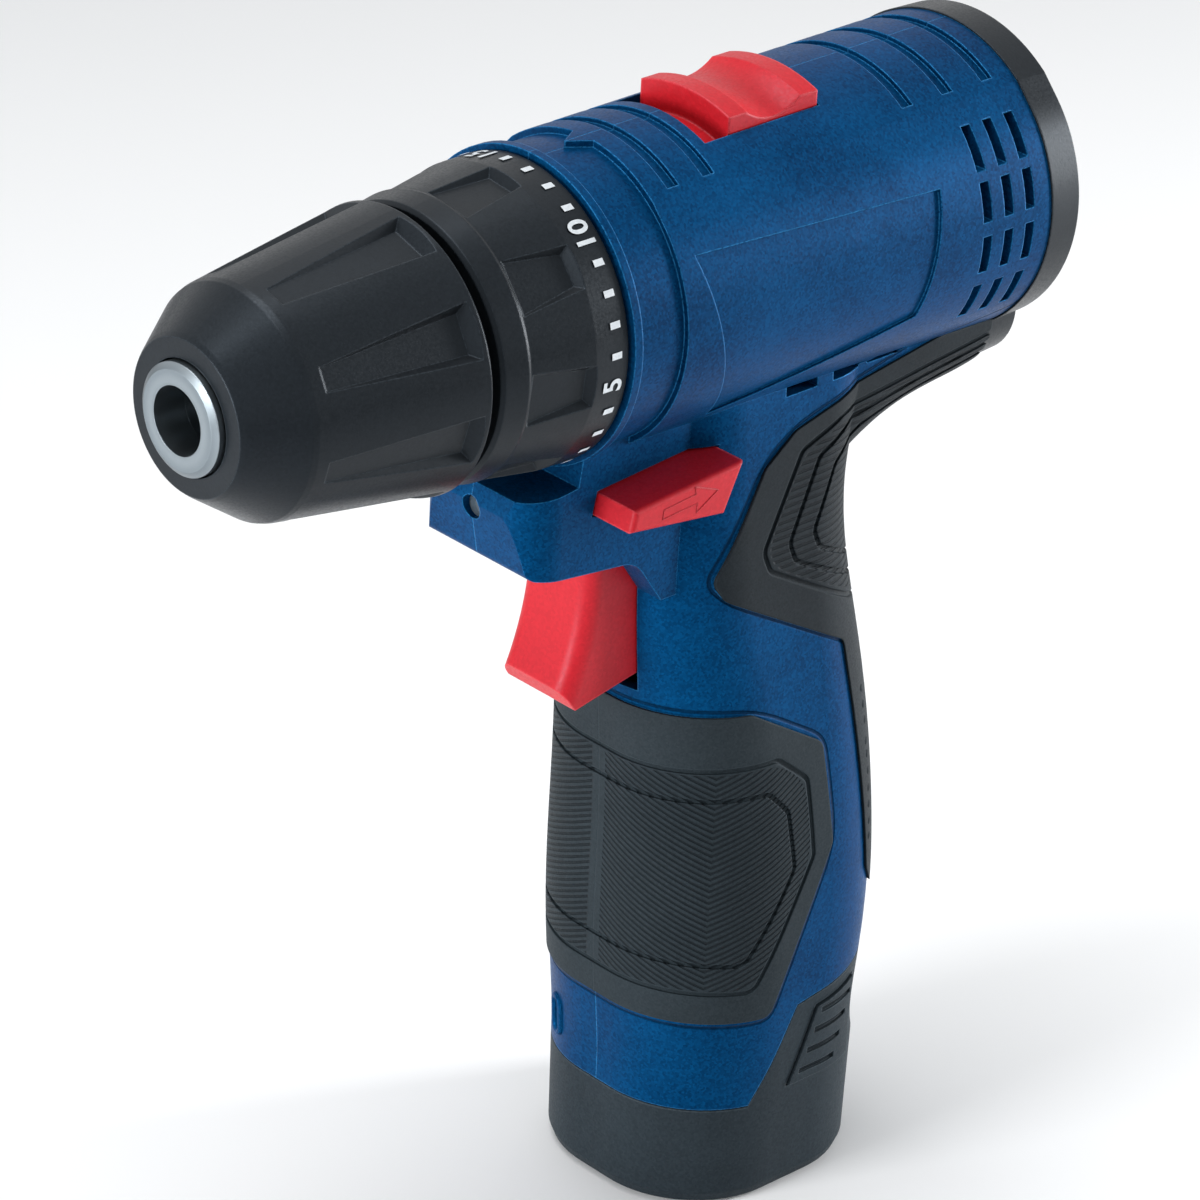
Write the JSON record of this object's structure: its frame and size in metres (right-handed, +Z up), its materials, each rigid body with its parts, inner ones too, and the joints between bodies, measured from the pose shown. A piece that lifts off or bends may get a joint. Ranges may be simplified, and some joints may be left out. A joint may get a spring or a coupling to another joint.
{
  "type": "cordless drill",
  "caption": "Cordless drill driver: keyless chuck, torque collar, two-speed planetary gearbox and a battery that slides into the handle",
  "frame": {"origin": "centre of the battery's flat foot", "axes": "+Z up along the handle, the chuck points along -X, the drill's left side is -Y"},
  "size_m": [0.1694, 0.0536, 0.1974],
  "materials": {
    "blue_shell": "satin metallic",
    "black_plastic": "matt",
    "grey_plastic": "fine matt texture",
    "inner_plastic": "moulded",
    "red_plastic": "satin",
    "soft_grip": "matt",
    "steel": "ground",
    "chuck_alloy": "machined",
    "screw_steel": "black oxide",
    "copper_alloy": "bright",
    "cell_can": "wrapped",
    "clear_lens": "clear"
  },
  "bodies": {
    "housing": {"left_housing": "blue_shell", "right_housing": "blue_shell", "rear_cap": "black_plastic", "front_grip_left": "soft_grip", "front_grip_right": "soft_grip", "rear_grip_left": "soft_grip", "rear_grip_right": "soft_grip", "housing_screws": "screw_steel", "gear_case": "inner_plastic", "gearbox_plate": "inner_plastic", "ring_gear_1": "steel", "ring_gear_3": "steel", "clutch_pins": "steel", "clutch_washer": "steel", "clutch_spring": "steel", "spindle_bearing": "steel", "motor_can": "steel", "motor_end_bell": "steel", "motor_magnets": "steel", "motor_brushes": "copper_alloy", "switch_module": "inner_plastic", "led_lens": "clear_lens", "battery_contacts": "inner_plastic"},
    "spindle": {"spindle": "steel", "chuck_body": "chuck_alloy", "chuck_screw": "steel"},
    "chuck_sleeve": {"chuck_sleeve": "black_plastic", "chuck_nut": "steel"},
    "jaw_1": {"jaw_1": "steel"},
    "jaw_2": {"jaw_2": "steel"},
    "jaw_3": {"jaw_3": "steel"},
    "torque_collar": {"torque_collar": "black_plastic"},
    "clutch_nut": {"clutch_nut": "inner_plastic"},
    "selector": {"gear_selector": "red_plastic", "shift_fork": "steel", "shift_ring": "steel"},
    "trigger": {"trigger": "red_plastic"},
    "direction_switch": {"direction_switch": "red_plastic"},
    "armature": {"motor_shaft": "steel", "armature_core": "steel", "motor_windings": "copper_alloy", "commutator": "copper_alloy", "motor_fan": "inner_plastic", "motor_pinion": "steel"},
    "carrier_1": {"carrier_1": "steel"},
    "carrier_2": {"carrier_2": "steel"},
    "battery": {"battery_case": "grey_plastic", "battery_cells": "cell_can", "battery_terminals": "copper_alloy"},
    "latch_left": {"latch_left": "grey_plastic"},
    "latch_right": {"latch_right": "grey_plastic"},
    "planet_1_1": {"planet_1_1": "steel"},
    "planet_1_2": {"planet_1_2": "steel"},
    "planet_1_3": {"planet_1_3": "steel"},
    "planet_2_1": {"planet_2_1": "steel"},
    "planet_2_2": {"planet_2_2": "steel"},
    "planet_2_3": {"planet_2_3": "steel"},
    "planet_3_1": {"planet_3_1": "steel"},
    "planet_3_2": {"planet_3_2": "steel"},
    "planet_3_3": {"planet_3_3": "steel"}
  },
  "joints": [
    {"name": "spindle_spin", "type": "hinge", "parent": "housing", "child": "spindle", "pos_m": [0, 0, 0.169], "axis": [-1, 0, 0], "continuous": true},
    {"name": "carrier_2_spin", "type": "hinge", "parent": "housing", "child": "carrier_2", "pos_m": [0, 0, 0.169], "axis": [-1, 0, 0], "continuous": true},
    {"name": "carrier_1_spin", "type": "hinge", "parent": "housing", "child": "carrier_1", "pos_m": [0, 0, 0.169], "axis": [-1, 0, 0], "continuous": true},
    {"name": "motor_spin", "type": "hinge", "parent": "housing", "child": "armature", "pos_m": [0, 0, 0.169], "axis": [-1, 0, 0], "continuous": true},
    {"name": "planet_3_1_spin", "type": "hinge", "parent": "spindle", "child": "planet_3_1", "pos_m": [0, 0, 0.17972], "axis": [-1, 0, 0], "continuous": true},
    {"name": "planet_3_2_spin", "type": "hinge", "parent": "spindle", "child": "planet_3_2", "pos_m": [0, -0.00929, 0.16364], "axis": [-1, 0, 0], "continuous": true},
    {"name": "planet_3_3_spin", "type": "hinge", "parent": "spindle", "child": "planet_3_3", "pos_m": [0, 0.00929, 0.16364], "axis": [-1, 0, 0], "continuous": true},
    {"name": "planet_2_1_spin", "type": "hinge", "parent": "carrier_2", "child": "planet_2_1", "pos_m": [0, 0, 0.17972], "axis": [-1, 0, 0], "continuous": true},
    {"name": "planet_2_2_spin", "type": "hinge", "parent": "carrier_2", "child": "planet_2_2", "pos_m": [0, -0.00929, 0.16364], "axis": [-1, 0, 0], "continuous": true},
    {"name": "planet_2_3_spin", "type": "hinge", "parent": "carrier_2", "child": "planet_2_3", "pos_m": [0, 0.00929, 0.16364], "axis": [-1, 0, 0], "continuous": true},
    {"name": "planet_1_1_spin", "type": "hinge", "parent": "carrier_1", "child": "planet_1_1", "pos_m": [0, 0, 0.17972], "axis": [-1, 0, 0], "continuous": true},
    {"name": "planet_1_2_spin", "type": "hinge", "parent": "carrier_1", "child": "planet_1_2", "pos_m": [0, -0.00929, 0.16364], "axis": [-1, 0, 0], "continuous": true},
    {"name": "planet_1_3_spin", "type": "hinge", "parent": "carrier_1", "child": "planet_1_3", "pos_m": [0, 0.00929, 0.16364], "axis": [-1, 0, 0], "continuous": true},
    {"name": "chuck_sleeve_turn", "type": "hinge", "parent": "spindle", "child": "chuck_sleeve", "pos_m": [0, 0, 0.169], "axis": [-1, 0, 0], "range_deg": [0, 2160]},
    {"name": "jaw_1_slide", "type": "slide", "parent": "spindle", "child": "jaw_1", "axis": [-0.9511, 0.309, 0], "range_m": [0, 0.0152]},
    {"name": "jaw_2_slide", "type": "slide", "parent": "spindle", "child": "jaw_2", "axis": [-0.9511, -0.1545, 0.2676], "range_m": [0, 0.0152]},
    {"name": "jaw_3_slide", "type": "slide", "parent": "spindle", "child": "jaw_3", "axis": [-0.9511, -0.1545, -0.2676], "range_m": [0, 0.0152]},
    {"name": "torque_collar_turn", "type": "hinge", "parent": "housing", "child": "torque_collar", "pos_m": [0, 0, 0.169], "axis": [1, 0, 0], "range_deg": [-146.25, 78.75]},
    {"name": "clutch_nut_slide", "type": "slide", "parent": "torque_collar", "child": "clutch_nut", "axis": [1, 0, 0], "range_m": [-0.00358, 0.00193], "deforming": ["clutch_spring"]},
    {"name": "gear_selector_slide", "type": "slide", "parent": "housing", "child": "selector", "axis": [-1, 0, 0], "range_m": [0, 0.005]},
    {"name": "trigger_slide", "type": "slide", "parent": "housing", "child": "trigger", "axis": [1, 0, 0], "range_m": [0, 0.006], "stiffness_N_per_m": 900, "springref_m": -0.004},
    {"name": "direction_slide", "type": "slide", "parent": "housing", "child": "direction_switch", "axis": [0, 1, 0], "range_m": [0, 0.006]},
    {"name": "battery_slide", "type": "slide", "parent": "housing", "child": "battery", "axis": [0, 0, -1], "range_m": [0, 0.09]},
    {"name": "latch_left_press", "type": "slide", "parent": "battery", "child": "latch_left", "axis": [0, 1, 0], "range_m": [0, 0.0015], "stiffness_N_per_m": 2000, "springref_m": -0.002},
    {"name": "latch_right_press", "type": "slide", "parent": "battery", "child": "latch_right", "axis": [0, -1, 0], "range_m": [0, 0.0015], "stiffness_N_per_m": 2000, "springref_m": -0.002}
  ],
  "couplings": [
    {"joint": "carrier_1_spin", "follows": "motor_spin", "ratio": 0.27273},
    {"joint": "carrier_2_spin", "follows": "motor_spin", "ratio": 0.07438},
    {"joint": "spindle_spin", "follows": "motor_spin", "ratio": 0.020286},
    {"joint": "planet_3_1_spin", "follows": "motor_spin", "ratio": -0.064914},
    {"joint": "planet_3_2_spin", "follows": "motor_spin", "ratio": -0.064914},
    {"joint": "planet_3_3_spin", "follows": "motor_spin", "ratio": -0.064914},
    {"joint": "planet_2_1_spin", "follows": "motor_spin", "ratio": -0.23802},
    {"joint": "planet_2_2_spin", "follows": "motor_spin", "ratio": -0.23802},
    {"joint": "planet_2_3_spin", "follows": "motor_spin", "ratio": -0.23802},
    {"joint": "planet_1_1_spin", "follows": "motor_spin", "ratio": -0.87273},
    {"joint": "planet_1_2_spin", "follows": "motor_spin", "ratio": -0.87273},
    {"joint": "planet_1_3_spin", "follows": "motor_spin", "ratio": -0.87273},
    {"joint": "jaw_1_slide", "follows": "chuck_sleeve_turn", "m_per_rad": 0.00040319},
    {"joint": "jaw_2_slide", "follows": "chuck_sleeve_turn", "m_per_rad": 0.00040319},
    {"joint": "jaw_3_slide", "follows": "chuck_sleeve_turn", "m_per_rad": 0.00040319},
    {"joint": "clutch_nut_slide", "follows": "torque_collar_turn", "m_per_rad": 0.0014}
  ]
}
